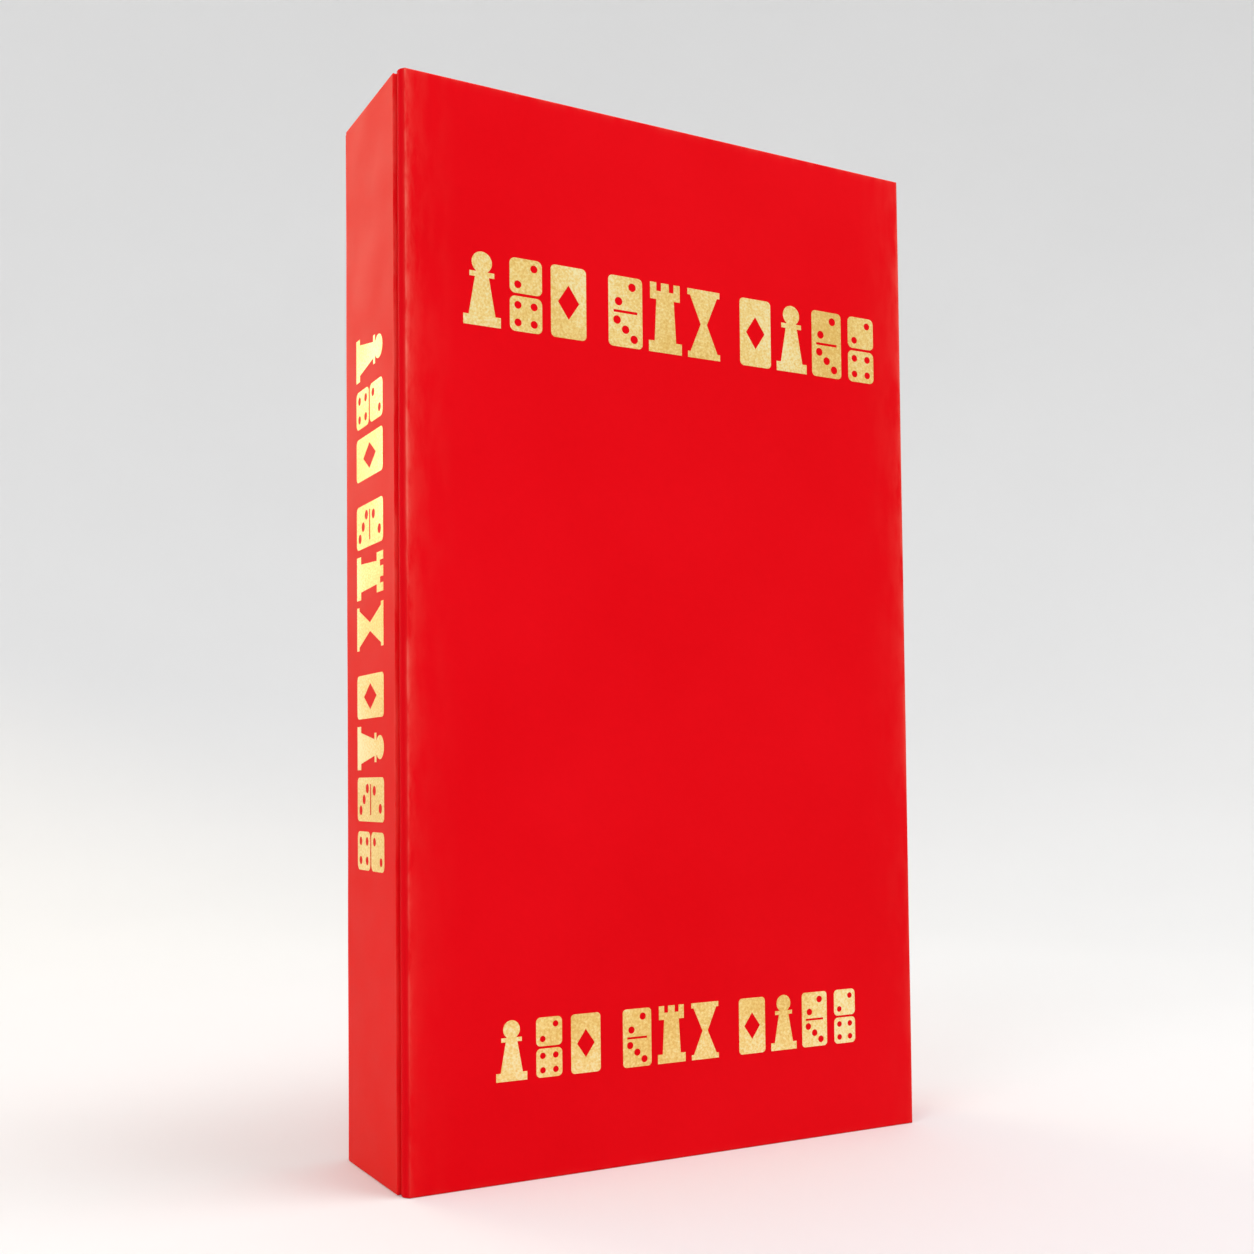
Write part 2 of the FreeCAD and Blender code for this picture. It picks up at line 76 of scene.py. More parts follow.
# Paper hinges
PAPER = 0.5 * MM            # thickness of a hinge's paper
RIDGE_TURN = math.radians(32)   # where the hinge's paper leaves the cover panel's edge
GROOVE_DEPTH = 1.4 * MM     # hinge's groove below the side panel's face
GROOVE_RUN = 0.45 * MM      # groove's lowest line beyond the side panel's edge
GROOVE_BEND = 0.35 * MM     # rounding of that line
GROOVE_REACH = 1.6 * MM     # GROOVE_INSET fades out over this distance from it
TAIL_DROP, TAIL_BACK = 0.6 * MM, 0.35 * MM      # paper's hidden end below and behind the groove
WALL_DROP, WALL_BACK = 0.25 * MM, 0.03 * MM     # and the point before it
BULGE = 1.0 * MM            # hinge's paper swelling out between groove and ridge
LAP_SINK = 0.03 * MM        # depth of the paper's other end in the cover panel's round edge
LAP_STEPS = 3
RIDGE_HIGHLIGHT = (0.5, 0.3 * MM)     # (share, reach) of the painted highlight along the ridge
END_INSET = 0.12 * MM       # hinge paper stopping short of the panels' ends
GROOVE_INSET = 0.25 * MM    # the same in the groove, on top of that
END_THIN = 0.12 * MM        # each side drawn in at the paper's cut ends, over END_LEVEL
END_LEVEL = 0.15 * MM
WOBBLE = 0.12 * MM          # unevenness of the hinge papers
WOBBLE_SCALE = (30, 21)     # in plan and upright
UPRIGHT_STEP = 6 * MM
FOLD_BACK, FOLD_ON = 0.3 * MM, 1.3 * MM     # distances from the groove along the cover hinge; not used to turn it

# Linings and tray
TURN_IN = 15 * MM           # width of the wrap's turn-ins under a lining
TURN_STEP = 0.12 * MM       # their height under it
TURN_RAMP = 1 * MM          # half width of the slope at a turn-in's edge
TURN_FINE = 0.4 * MM
GLUE_GAP = 0.01 * MM        # lining's hidden side above its board
TRAY_PAPER = 0.28 * MM
TRAY_GAP = 0.02 * MM        # between the tray's paper and its wall's rim
TRAY_RIM = 0.7 * MM         # rounding of the rim
TRAY_CORNER, TRAY_LEAST = 0.9 * MM, 0.35 * MM   # rounding of its four corners, and the least
INSERT_EDGE = 0.35 * MM     # rounding of the insert's edges

# Meshes
ARC_STEPS = 6
STRIP_STEPS = 14
SPAN = 12 * MM              # longest mesh step along a panel
NEAR_EDGE = (0.4 * MM, 1.2 * MM, 3 * MM, 7 * MM)    # finer mesh steps beside a panel's edge
SHARP = math.radians(50)    # edges turning more than this are shaded sharp

# Room: a round floor, flat to FLAT, that curves up by CURVE to a wall
FLAT, CURVE, WALL = 0.8, 2.3, 1.4
CURVE_STEPS, TURNS = 32, 96
# name, place, aim, size, spread in degrees, watts, tone
SOFT_LIGHTS = [
    ("key", (-1.15, -0.75, 1.3), (0, 0, 0.35), (0.7, 0.7), 180, 4.9, (1, 1, 1)),
    ("top", (0.5, -0.5, 2.1), (0, 0, 0.2), (0.8, 0.8), 180, 13.4, (1, 1, 1)),
    ("back_left", (-0.62, 1.78, 1.02), (0, 0, 0.25), (0.85, 1.24), 110, 3.6, (1, 0.83, 0.58)),
    ("right", (1.3, -1.3, 1.5), (0, 0, 0.1), (0.6, 0.6), 180, 0.6, (1, 1, 1)),
]
SKY_TONE, SKY_POWER = (1, 0.99, 0.99, 1), 0.85

# Camera
YAW, PITCH, ROLL = math.radians(28.46), math.radians(2.15), math.radians(-0.57)
EYE = Vector((-0.1758, -0.4907, 0.1438))    # from the foot of the spine's front corner
SENSOR, LENS, SHIFT_Y = 36, 42.24, 0.0797


# ---------------------------------------------------------------- mesh helpers

def mesh_piece(name, points, faces, materials, indices=None, rub_and_highlight=None):
    """A smooth closed mesh object from points and faces, with outward normals.

    The last argument is how pale each point is painted, from 0 to 1, for the material to read:
    rubbed wear and painted highlight."""
    mesh = bpy.data.meshes.new(name)
    mesh.from_pydata([tuple(point) for point in points], [], faces)
    for material in materials:
        mesh.materials.append(material)
    if indices:
        mesh.polygons.foreach_set("material_index", indices)
    mesh.polygons.foreach_set("use_smooth", [True] * len(faces))
    work = bmesh.new()
    work.from_mesh(mesh)
    bmesh.ops.recalc_face_normals(work, faces=work.faces)
    work.to_mesh(mesh)
    work.free()
    mesh.update()
    if rub_and_highlight:
        wear_and_highlight = mesh.attributes.new("rub_and_highlight", "FLOAT", "POINT")
        wear_and_highlight.data.foreach_set("value", rub_and_highlight)
    piece = bpy.data.objects.new(name, mesh)
    bpy.context.scene.collection.objects.link(piece)
    return piece


def flat_shading(piece):
    """Keep large flat faces flat beside small round ones."""
    piece.data.set_sharp_from_angle(angle=SHARP)
    even = piece.modifiers.new("EvenNormals", "WEIGHTED_NORMAL")
    even.keep_sharp = True
    even.weight = 80


def soften(node, width):
    """Small round edges on a CAD node, as a modifier."""
    weld = node.modifiers.new("Weld", "WELD")
    weld.merge_threshold = 0.001 * MM
    bevel = node.modifiers.new("SoftEdges", "BEVEL")
    bevel.width = width
    bevel.segments = 3
    bevel.limit_method = "ANGLE"
    bevel.angle_limit = math.radians(40)
    even = node.modifiers.new("EvenNormals", "WEIGHTED_NORMAL")
    even.keep_sharp = True


def steps(start, end, longest):
    """Evenly spaced values from start to end, no further apart than longest."""
    count = max(1, math.ceil(abs(end - start) / longest))
    return [start + (end - start) * index / count for index in range(count + 1)]


def edged_steps(start, end):
    """Values from start to end, close together beside both ends."""
    edge = NEAR_EDGE[-1]
    middle = steps(start + edge, end - edge, SPAN)
    return ([start] + [start + mark for mark in NEAR_EDGE[:-1]] + middle
            + [end - mark for mark in reversed(NEAR_EDGE[:-1])] + [end])


def loop_band(first, second):
    """Quads between two closed loops of point numbers."""
    count = len(first)
    return [(first[i], first[(i + 1) % count], second[(i + 1) % count], second[i])
            for i in range(count)]


# ---------------------------------------------------------------- panels

def slab_loop(length, thick, radii, inset):
    """Plan outline of a panel, inset by a distance: (along, depth) points.

    radii are the corner roundings at the start's outer, end's outer, end's inner and start's
    inner corner. The outer side comes first and has as many points as the inner side."""
    corners = [
        ((0, 0), (1, 1), 180, radii[0]),
        ((length, 0), (-1, 1), 270, radii[1]),
        ((length, thick), (-1, -1), 0, radii[2]),
        ((0, thick), (1, -1), 90, radii[3]),
    ]
    points = []
    inner = [place / length for place in edged_steps(0, length)[1:-1]]
    for index, ((x, y), (right, up), start, radius) in enumerate(corners):
        left_over = max(radius - inset, LEAST_ROUND)
        hold = left_over + inset
        centre = Vector((x + right * hold, y + up * hold))
        for step in range(ARC_STEPS + 1):
            angle = math.radians(start + 90 * step / ARC_STEPS)
            points.append(centre + left_over * Vector((math.cos(angle), math.sin(angle))))
        if index == 0:
            begin, end = points[-1], Vector((length - hold, inset))
            points += [begin.lerp(end, share) for share in inner]
        if index == 2:
            begin, end = points[-1], Vector((hold, thick - inset))
            points += [begin.lerp(end, share) for share in inner]
    return points


def slab_levels(thick, height, rounding):
    """(inset, height) of the loops from the foot's middle line to the head's."""
    middle = thick / 2 - END_SEAM
    foot = [(middle, 0.0)]
    for step in range(ARC_STEPS + 1):
        angle = math.radians(90 * step / ARC_STEPS)
        foot.append((rounding * (1 - math.sin(angle)), rounding * (1 - math.cos(angle))))
    rise = [(0.0, level) for level in edged_steps(rounding, height - rounding)[1:-1]]
    head = [(inset, height - level) for inset, level in reversed(foot)]
    return foot + rise + head


def edge_wear_and_highlight(edge, hinge):
    """How pale a panel's outer face is painted, by its distances from any edge and from its
    hinge: rubbed wear with painted highlight at edges, painted highlight at and beside the hinge.
    """
    return sum(share * math.exp(-distance / reach) for (share, reach), distance in
               ((EDGE_WEAR_AND_HIGHLIGHT, edge), (HINGE_HIGHLIGHT, hinge), (BROAD_HINGE_HIGHLIGHT, hinge)))


def slab_piece(name, panel, materials):
    """A wrapped board: a thin rounded slab, very slightly uneven like hand-covered board."""
    length, thick, height = panel["length"], panel["thick"], panel["height"]
    points, loops, rub_and_highlight = [], [], []
    for inset, level in slab_levels(thick, height, EDGE_ROUND):
        loop = []
        for along, depth in slab_loop(length, thick, panel["radii"], inset):
            place = panel["origin"] + along * panel["along"] + depth * panel["inward"]
            place = place + Vector((0, 0, level))
            edge = max(0, min(along, length - along, level, height - level))
            outer = depth < thick / 2
            if outer:
                wave = abs(noise.noise(place * UNEVEN_SCALE)) * UNEVEN
                place = place + panel["inward"] * wave * min(1, edge / UNEVEN_FADE)
            hinge = min(along if panel["hinges"][0] else length,
                        length - along if panel["hinges"][1] else length)
            # paler print at edges and hinge: rubbed wear and painted highlight
            rub_and_highlight.append(edge_wear_and_highlight(edge, hinge) if outer else 0.0)
            loop.append(len(points))
            points.append(place)
        loops.append(loop)
    faces = []
    for below, above in zip(loops, loops[1:]):
        faces += loop_band(below, above)
    half = len(loops[0]) // 2
    for loop in (loops[0], loops[-1]):
        for index in range(half - 1):
            far = len(loop) - 1 - index
            faces.append((loop[index], loop[index + 1], loop[far - 1], loop[far]))
    piece = mesh_piece(name, points, faces, materials, rub_and_highlight=rub_and_highlight)
    flat_shading(piece)
    return piece


def panel_frames():
    """Place and size of the four case panels, from the CAD wraps."""
    turns = {
        "front": (Vector((1, 0, 0)), Vector((0, 1, 0)), COVER, (True, True)),
        "spine": (Vector((0, 1, 0)), Vector((1, 0, 0)), CASE, (True, True)),
        "back": (Vector((1, 0, 0)), Vector((0, -1, 0)), CASE, (True, False)),
        "flap": (Vector((0, 1, 0)), Vector((-1, 0, 0)), FLAP, (True, False)),
    }
    panels = {}
    for name, (along, inward, body, hinged) in turns.items():
        low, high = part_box(f"{name}_wrap")
        size = high - low
        origin = Vector([low[axis] if along[axis] + inward[axis] > 0 else high[axis]
                         for axis in range(2)] + [0])
        at_hinge = RIDGE_ROUND if name in ("front", "back") else CREASE_ROUND
        start, end = [at_hinge if hinge else EDGE_ROUND for hinge in hinged]
        panels[name] = {
            "origin": origin, "along": along, "inward": inward, "body": body,
            "length": abs(size.dot(along)), "thick": abs(size.dot(inward)), "height": size.z,
            "radii": (start, end, EDGE_ROUND, EDGE_ROUND),
            "hinges": hinged if name == "front" else (False, False),
        }
    return panels


# ---------------------------------------------------------------- hinges

def bend(points, index, radius):
    """Replace one corner of a plan path by an arc-like curve."""
    before, corner, after = points[index - 1], points[index], points[index + 1]
    reach_in = min(radius, (before - corner).length * 0.45)
    reach_out = min(radius, (after - corner).length * 0.45)
    start = corner + (before - corner).normalized() * reach_in
    end = corner + (after - corner).normalized() * reach_out
    curve = []
    for step in range(ARC_STEPS + 1):
        share = step / ARC_STEPS
        curve.append(start.lerp(corner, share).lerp(corner.lerp(end, share), share))
    return points[:index] + curve + points[index + 1:]


def hinge_path(crease, ridge, side_along, side_inward, cover_along, cover_inward):
    """Outer line of a hinge's paper in plan, from behind the side panel's edge through the
    groove, over the swollen strip and onto the cover board's edge."""
    tail = crease + side_inward * (GROOVE_DEPTH + TAIL_DROP) + side_along * TAIL_BACK
    wall = crease + side_inward * (GROOVE_DEPTH + WALL_DROP) + side_along * WALL_BACK
    bottom = crease + side_inward * GROOVE_DEPTH - side_along * GROOVE_RUN
    centre = ridge + RIDGE_ROUND * (cover_along + cover_inward)
    leave = -cover_along * math.cos(RIDGE_TURN) - cover_inward * math.sin(RIDGE_TURN)
    touch = centre + leave * RIDGE_ROUND
    chord = touch - bottom
    out = Vector((chord.y, -chord.x)).normalized()
    if out.dot(side_inward + cover_inward) > 0:
        out = -out
    strip = []
    for step in range(1, STRIP_STEPS + 1):
        share = step / STRIP_STEPS
        strip.append(bottom + chord * share + out * BULGE * math.sin(math.pi * share))
    path = bend([tail, wall, bottom] + strip, 2, GROOVE_BEND)
    sunk = RIDGE_ROUND - LAP_SINK
    first = math.atan2(leave.y, leave.x)
    last = math.atan2(-cover_inward.y, -cover_inward.x)
    sweep = (last - first + math.pi) % (2 * math.pi) - math.pi
    for step in range(1, LAP_STEPS + 1):
        angle = first + sweep * 0.5 * step / LAP_STEPS
        path.append(centre + sunk * Vector((math.cos(angle), math.sin(angle))))
    return path, bottom, touch


def ribbon_piece(name, path, bottom, touch, inner_hint, height, materials):
    """Paper standing on end along a plan path: outer side, inner side and closed ends."""
    count = len(path)
    highlight_share, highlight_reach = RIDGE_HIGHLIGHT
    normals, insets, wear_and_highlight = [], [], []
    for index, place in enumerate(path):
        run = path[min(index + 1, count - 1)] - path[max(index - 1, 0)]
        normal = Vector((-run.y, run.x)).normalized()
        normals.append(normal if normal.dot(inner_hint) > 0 else -normal)
        groove = max(0, 1 - (place - bottom).length / GROOVE_REACH)
        insets.append(END_INSET + GROOVE_INSET * groove)
        # painted highlight along the ridge where the paper meets the cover board
        wear_and_highlight.append(highlight_share * math.exp(-(place - touch).length / highlight_reach))
    levels = [0, END_LEVEL] + steps(1 * MM, height - 1 * MM, UPRIGHT_STEP)
    levels += [height - END_LEVEL, height]
    across, upright = WOBBLE_SCALE
    points, rows, rub_and_highlight = [], [], []
    for number, level in enumerate(levels):
        at_end = number in (0, len(levels) - 1)
        row = []
        for side in (0, 1):
            for index, place in enumerate(path):
                sample = Vector((place.x * across, place.y * across, level * upright))
                wobble = noise.noise(sample) * WOBBLE * math.sin(math.pi * index / (count - 1))
                depth = PAPER * side + wobble
                if at_end:
                    depth += END_THIN if side == 0 else -END_THIN
                spot = place + normals[index] * depth
                squeeze = (height - 2 * insets[index]) / height
                row.append(len(points))
                points.append((spot.x, spot.y, insets[index] + level * squeeze))
                rub_and_highlight.append(wear_and_highlight[index] if side == 0 else 0.0)
        rows.append(row)
    faces, indices = [], []
    for low, high in zip(rows, rows[1:]):
        for side in (0, 1):
            base = side * count
            for index in range(count - 1):
                a, b = base + index, base + index + 1
                faces.append((low[a], low[b], high[b], high[a]))
                indices.append(side)
        for a, b in ((0, count), (count - 1, 2 * count - 1)):
            faces.append((low[a], low[b], high[b], high[a]))
            indices.append(0)
    for row in (rows[0], rows[-1]):
        for index in range(count - 1):
            faces.append((row[index], row[index + 1], row[count + index + 1], row[count + index]))
            indices.append(0)
    return mesh_piece(name, points, faces, materials, indices, rub_and_highlight)


def plan(vector):
    """A vector's X and Y."""
    return Vector((vector.x, vector.y))


def hinges(panels, materials):
    """The three paper hinges: spine to cover, spine to back, cover to flap."""
    pairs = {
        "cover_hinge_paper": ("spine", "start", "front", "start", "cover_hinge_web"),
        "back_hinge_paper": ("spine", "end", "back", "start", "back_hinge_web"),
        "flap_hinge_paper": ("flap", "start", "front", "end", "flap_hinge_web"),
    }
    for name, (side, side_end, cover, cover_end, node) in pairs.items():
        ends = []
        for key, end in ((side, side_end), (cover, cover_end)):
            panel = panels[key]
            far = end == "end"
            along = plan(panel["along"]) * (-1 if far else 1)
            point = plan(panel["origin"]) + plan(panel["along"]) * (panel["length"] if far else 0)
            ends.append((point, along, plan(panel["inward"])))
        (crease, side_along, side_inward), (ridge, cover_along, cover_inward) = ends
        path, bottom, touch = hinge_path(crease, ridge, side_along, side_inward,
                                         cover_along, cover_inward)
        piece = ribbon_piece(name, path, bottom, touch, side_inward + cover_inward,
                             panels[cover]["height"], materials)
        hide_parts(node)
        strip = touch - bottom
        if name == "back_hinge_paper":
            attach(piece, CASE)
        elif name == "cover_hinge_paper":
            end = bottom + strip.normalized() * FOLD_ON
            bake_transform(piece)
        else:
            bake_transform(piece)


# ---------------------------------------------------------------- linings and tray

def lining_piece(name, node, panel, materials, body, free_end):
    """Lining paper on a panel's inner side, with the turn-ins showing through as a low step."""
    low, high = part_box(node)
    along_low = (low - panel["origin"]).dot(panel["along"])
    along_high = (high - panel["origin"]).dot(panel["along"])
    along_low, along_high = sorted((along_low, along_high))
    top = max((corner - panel["origin"]).dot(panel["inward"]) for corner in (low, high))
    base = panel["thick"] + GLUE_GAP
    marks = [TURN_IN + offset for offset in (-TURN_RAMP, -TURN_FINE, TURN_FINE, TURN_RAMP)]
    across = steps(along_low, along_high, SPAN)
    if free_end:
        across += [panel["length"] - mark for mark in marks]
    upright = steps(low.z, high.z, SPAN) + marks + [panel["height"] - mark for mark in marks]
    across, upright = sorted(set(across)), sorted(set(upright))

    def depth_at(along, level):
        nearest = min(level, panel["height"] - level)
        if free_end:
            nearest = min(nearest, panel["length"] - along)
        share = min(1, max(0, (nearest - TURN_IN + TURN_RAMP) / (2 * TURN_RAMP)))
        return top - TURN_STEP * share * share * (3 - 2 * share)

    points, grid = [], {}
    for side in (0, 1):
        for i, along in enumerate(across):
            for k, level in enumerate(upright):
                depth = depth_at(along, level) if side == 0 else base
                grid[side, i, k] = len(points)
                points.append(panel["origin"] + panel["along"] * along
                              + panel["inward"] * depth + Vector((0, 0, level)))
    faces = []
    last_i, last_k = len(across) - 1, len(upright) - 1
    for i in range(last_i):
        for k in range(last_k):
            for side in (0, 1):
                faces.append((grid[side, i, k], grid[side, i + 1, k],
                              grid[side, i + 1, k + 1], grid[side, i, k + 1]))
    for i in range(last_i):
        for k in (0, last_k):
            faces.append((grid[0, i, k], grid[0, i + 1, k], grid[1, i + 1, k], grid[1, i, k]))
    for k in range(last_k):
        for i in (0, last_i):
            faces.append((grid[0, i, k], grid[0, i, k + 1], grid[1, i, k + 1], grid[1, i, k]))
    piece = mesh_piece(name, points, faces, materials)
    piece.data.set_sharp_from_angle(angle=SHARP)
    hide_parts(node)
    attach(piece, body)


def box_loop(x_range, z_range, radius):
    """A rounded rectangle in XZ as a list of (x, z)."""
    (x0, x1), (z0, z1) = x_range, z_range
    points = []
    corners = [((x1, z1), (-1, -1), 0), ((x0, z1), (1, -1), 90),
               ((x0, z0), (1, 1), 180), ((x1, z0), (-1, 1), 270)]
    for (x, z), (right, up), start in corners:
        for step in range(ARC_STEPS + 1):
            angle = math.radians(start + 90 * step / ARC_STEPS)
            points.append((x + right * radius + radius * math.cos(angle),
                           z + up * radius + radius * math.sin(angle)))
    return points


def tray_paper(materials):
    """Wrap of the tray: outside, over the round rim and down the inside, in one piece."""
    low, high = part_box("tray_wrap")
    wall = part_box("tray_floor_lining")[0].x - low.x
    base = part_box("tray_base_board")[0].y
    paper, rim = TRAY_PAPER, TRAY_RIM
    under_rim = low.y + paper + TRAY_GAP
    profile = [(0.0, high.y)]
    profile += [(0.0, level) for level in steps(high.y, low.y + rim, SPAN)[1:]]
    for step in range(1, ARC_STEPS + 1):
        angle = math.radians(90 * step / ARC_STEPS)
        profile.append((rim * (1 - math.cos(angle)), low.y + rim * (1 - math.sin(angle))))
    for step in range(ARC_STEPS + 1):
        angle = math.radians(90 * step / ARC_STEPS)
        profile.append((wall - rim * (1 - math.sin(angle)), low.y + rim * (1 - math.cos(angle))))
    profile += [(wall, level) for level in steps(low.y + rim, base, SPAN)[1:]]
    profile += [(wall - paper, base), (wall - paper, under_rim),
                (paper, under_rim), (paper, high.y)]
    points, loops = [], []
    for inset, depth in profile:
        radius = max(TRAY_CORNER - inset, TRAY_LEAST)
        x_range, z_range = [(low[axis] + inset, high[axis] - inset) for axis in (0, 2)]
        loop = []
        for x, z in box_loop(x_range, z_range, radius):
            loop.append(len(points))
            points.append((x, depth, z))
        loops.append(loop)
    faces = []
    for first, second in zip(loops, loops[1:] + loops[:1]):
        faces += loop_band(first, second)
    piece = mesh_piece("tray_paper", points, faces, materials)
    flat_shading(piece)
    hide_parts("tray_wrap")
    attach(piece, CASE)


# ---------------------------------------------------------------- materials

class Nodes:
    """A material's node tree with one shader, and short ways to add and join nodes."""

    def __init__(self, name):
        self.material = bpy.data.materials.new(name)
        self.material.use_nodes = True
        self.tree = self.material.node_tree
        self.tree.nodes.clear()
        self.shader = self.add("ShaderNodeBsdfPrincipled")
        output = self.add("ShaderNodeOutputMaterial")
        self.join(self.shader.outputs[0], output.inputs[0])
        self.place = self.add("ShaderNodeTexCoord").outputs["Object"]

    def add(self, kind, **settings):
        node = self.tree.nodes.new(kind)
        for name, value in settings.items():
            setattr(node, name, value)
        return node

    def join(self, source, target):
        self.tree.links.new(source, target)

    def noise(self, scale, detail=2.0, roughness=0.5, stretch=None):
        node = self.add("ShaderNodeTexNoise")
        node.inputs["Scale"].default_value = scale
        node.inputs["Detail"].default_value = detail
        node.inputs["Roughness"].default_value = roughness
        source = self.place
        if stretch:
            mapping = self.add("ShaderNodeMapping")
            mapping.inputs["Scale"].default_value = stretch
            self.join(self.place, mapping.inputs["Vector"])
            source = mapping.outputs[0]
        self.join(source, node.inputs["Vector"])
        return node.outputs["Fac"]

    def ramp(self, source, stops):
        """Colours along a value: stops are (position, colour)."""
        node = self.add("ShaderNodeValToRGB")
        band = node.color_ramp
        while len(band.elements) < len(stops):
            band.elements.new(0.5)
        for element, (position, colour) in zip(band.elements, stops):
            element.position = position
            element.color = (*colour, 1)
        self.join(source, node.inputs[0])
        return node.outputs[0]

    def span(self, source, low, high, from_low=0.3, from_high=0.7):
        """Map a value onto a range."""
        node = self.add("ShaderNodeMapRange")
        for key, value in (("From Min", from_low), ("From Max", from_high),
                           ("To Min", low), ("To Max", high)):
            node.inputs[key].default_value = value
        self.join(source, node.inputs["Value"])
        return node.outputs[0]

    def times(self, first, second):
        node = self.add("ShaderNodeMath", operation="MULTIPLY", use_clamp=True)
        self.join(first, node.inputs[0])
        self.join(second, node.inputs[1])
        return node.outputs[0]

    def wear_and_highlight(self):
        """How far the print is made pale, as rubbed wear and painted highlight: patchy, and less
        near the foot of the box, a painted falloff of light.
        """
        rub_and_highlight = self.add("ShaderNodeAttribute", attribute_name="rub_and_highlight").outputs["Fac"]
        patches = self.span(self.noise(170, 4, 0.65, stretch=(1, 1, 0.25)), 0.15, 1.5, 0.38, 0.62)
        axes = self.add("ShaderNodeSeparateXYZ")
        self.join(self.place, axes.inputs[0])
        # painted falloff of light: the pale highlight fades towards the foot
        height = self.span(axes.outputs["Z"], 0.25, 1.0, 0.02, 0.30)
        return self.times(self.times(rub_and_highlight, patches), height)

    def bump(self, source, distance, before=None):
        """Relief of a given depth, added to another."""
        node = self.add("ShaderNodeBump")
        node.inputs["Distance"].default_value = distance
        node.inputs["Strength"].default_value = 1.0
        self.join(source, node.inputs["Height"])
        if before:
            self.join(before, node.inputs["Normal"])
        return node.outputs[0]

    def finish(self, colour, rough, normal, **sockets):
        self.join(colour, self.shader.inputs["Base Color"])
        self.join(rough, self.shader.inputs["Roughness"])
        self.join(normal, self.shader.inputs["Normal"])
        for name, value in sockets.items():
            self.shader.inputs[name.replace("_", " ")].default_value = value
        return self.material


def red_paper(name, depth, sheen):
    """Printed red paper under a satin film: soft waves, fine orange peel, faint fibres, and a
    paler red along edges and hinge ridges that is partly rubbed wear and partly painted
    highlight. depth is the print's brightness, and below 1 it is painted shade; sheen is its glow
    at low angles."""
    n = Nodes(name)
    light, dark = (0.82 * depth, 0.0024, 0.0080), (0.78 * depth, 0.0014, 0.0060)
    tint = n.ramp(n.noise(14, 3), [(0.3, dark), (0.7, light)])
    colour = n.add("ShaderNodeMix", data_type="RGBA")
    n.join(n.wear_and_highlight(), colour.inputs["Factor"])
    n.join(tint, colour.inputs["A"])
    # pale red of rubbed print and of the painted highlight
    colour.inputs["B"].default_value = (0.93, 0.15, 0.11, 1)
    rough = n.span(n.noise(45, 4), 0.36, 0.46)
    waves = n.bump(n.noise(16, 1), 0.0004)
    peel = n.bump(n.noise(700, 2), 0.000012, waves)
    fibres = n.bump(n.noise(2600, 3, 0.6), 0.000005, peel)
    n.shader.inputs["Sheen Tint"].default_value = (1.0, 0.36, 0.10, 1)
    return n.finish(colour.outputs["Result"], rough, fibres, Specular_IOR_Level=0.02,
                    Sheen_Weight=sheen, Sheen_Roughness=0.35)


def gold_foil():
    """Hot-stamped gold film on paper: finely mottled tone and a grainy shine."""
    n = Nodes("gold_foil")
    glint = n.add("ShaderNodeMix", data_type="FLOAT")
    glint.inputs["Factor"].default_value = 0.45
    n.join(n.noise(1100, 4, 0.65), glint.inputs["A"])
    n.join(n.noise(24, 1), glint.inputs["B"])
    tint = n.ramp(glint.outputs["Result"], [(0.38, (0.84, 0.53, 0.13)), (0.5, (0.97, 0.72, 0.26)),
                                            (0.60, (1.0, 0.87, 0.48))])
    rough = n.span(n.noise(1500, 3), 0.34, 0.52)
    waves = n.bump(n.noise(16, 1), 0.0004)
    grain = n.bump(n.noise(3000, 3, 0.6), 0.00002, waves)
    return n.finish(tint, rough, grain, Metallic=0.7)


def lining_paper():
    """Uncoated ivory paper with soft fibres."""
    n = Nodes("lining_paper")
    tint = n.ramp(n.noise(900, 4, 0.6), [(0.3, (0.66, 0.60, 0.48)), (0.7, (0.76, 0.71, 0.60))])
    rough = n.span(n.noise(60), 0.72, 0.86)
    fibres = n.bump(n.noise(1800, 4, 0.7), 0.00002)
    return n.finish(tint, rough, fibres, Specular_IOR_Level=0.3)


def black_card():
    """Dyed-through black card with a felt-like grain."""
    n = Nodes("black_card")
    tint = n.ramp(n.noise(1200, 4, 0.7), [(0.3, (0.010, 0.010, 0.011)),
                                          (0.75, (0.026, 0.025, 0.026))])
    rough = n.span(n.noise(80), 0.62, 0.8)
    grain = n.bump(n.noise(2400, 3, 0.6), 0.00003)
    return n.finish(tint, rough, grain, Specular_IOR_Level=0.35)


def greyboard():
    """Recycled board: grey with pale and dark specks."""
    n = Nodes("greyboard")
    tint = n.ramp(n.noise(1600, 5, 0.75), [(0.25, (0.16, 0.145, 0.12)), (0.6, (0.27, 0.25, 0.21)),
                                          (0.8, (0.40, 0.38, 0.33))])
    rough = n.span(n.noise(120), 0.82, 0.95)
    fibres = n.bump(n.noise(2000, 4, 0.7), 0.00005)
    return n.finish(tint, rough, fibres, Specular_IOR_Level=0.2)


def kraft_tape():
    """Brown gummed paper with fibres along its length."""
    n = Nodes("kraft_tape")
    streaks = n.noise(300, 4, 0.6, stretch=(1, 8, 1))
    tint = n.ramp(streaks, [(0.3, (0.26, 0.14, 0.06)), (0.7, (0.38, 0.23, 0.11))])
    rough = n.span(n.noise(90), 0.6, 0.75)
    return n.finish(tint, rough, n.bump(streaks, 0.00002), Specular_IOR_Level=0.3)


def metal(name, low, high, rough_low, rough_high):
    """Plated or plain disc metal with faint turning marks."""
    n = Nodes(name)
    marks = n.noise(900, 3, 0.6, stretch=(1, 1, 6))
    tint = n.ramp(marks, [(0.3, low), (0.7, high)])
    rough = n.span(n.noise(300), rough_low, rough_high)
    return n.finish(tint, rough, n.bump(marks, 0.000008), Metallic=1.0)


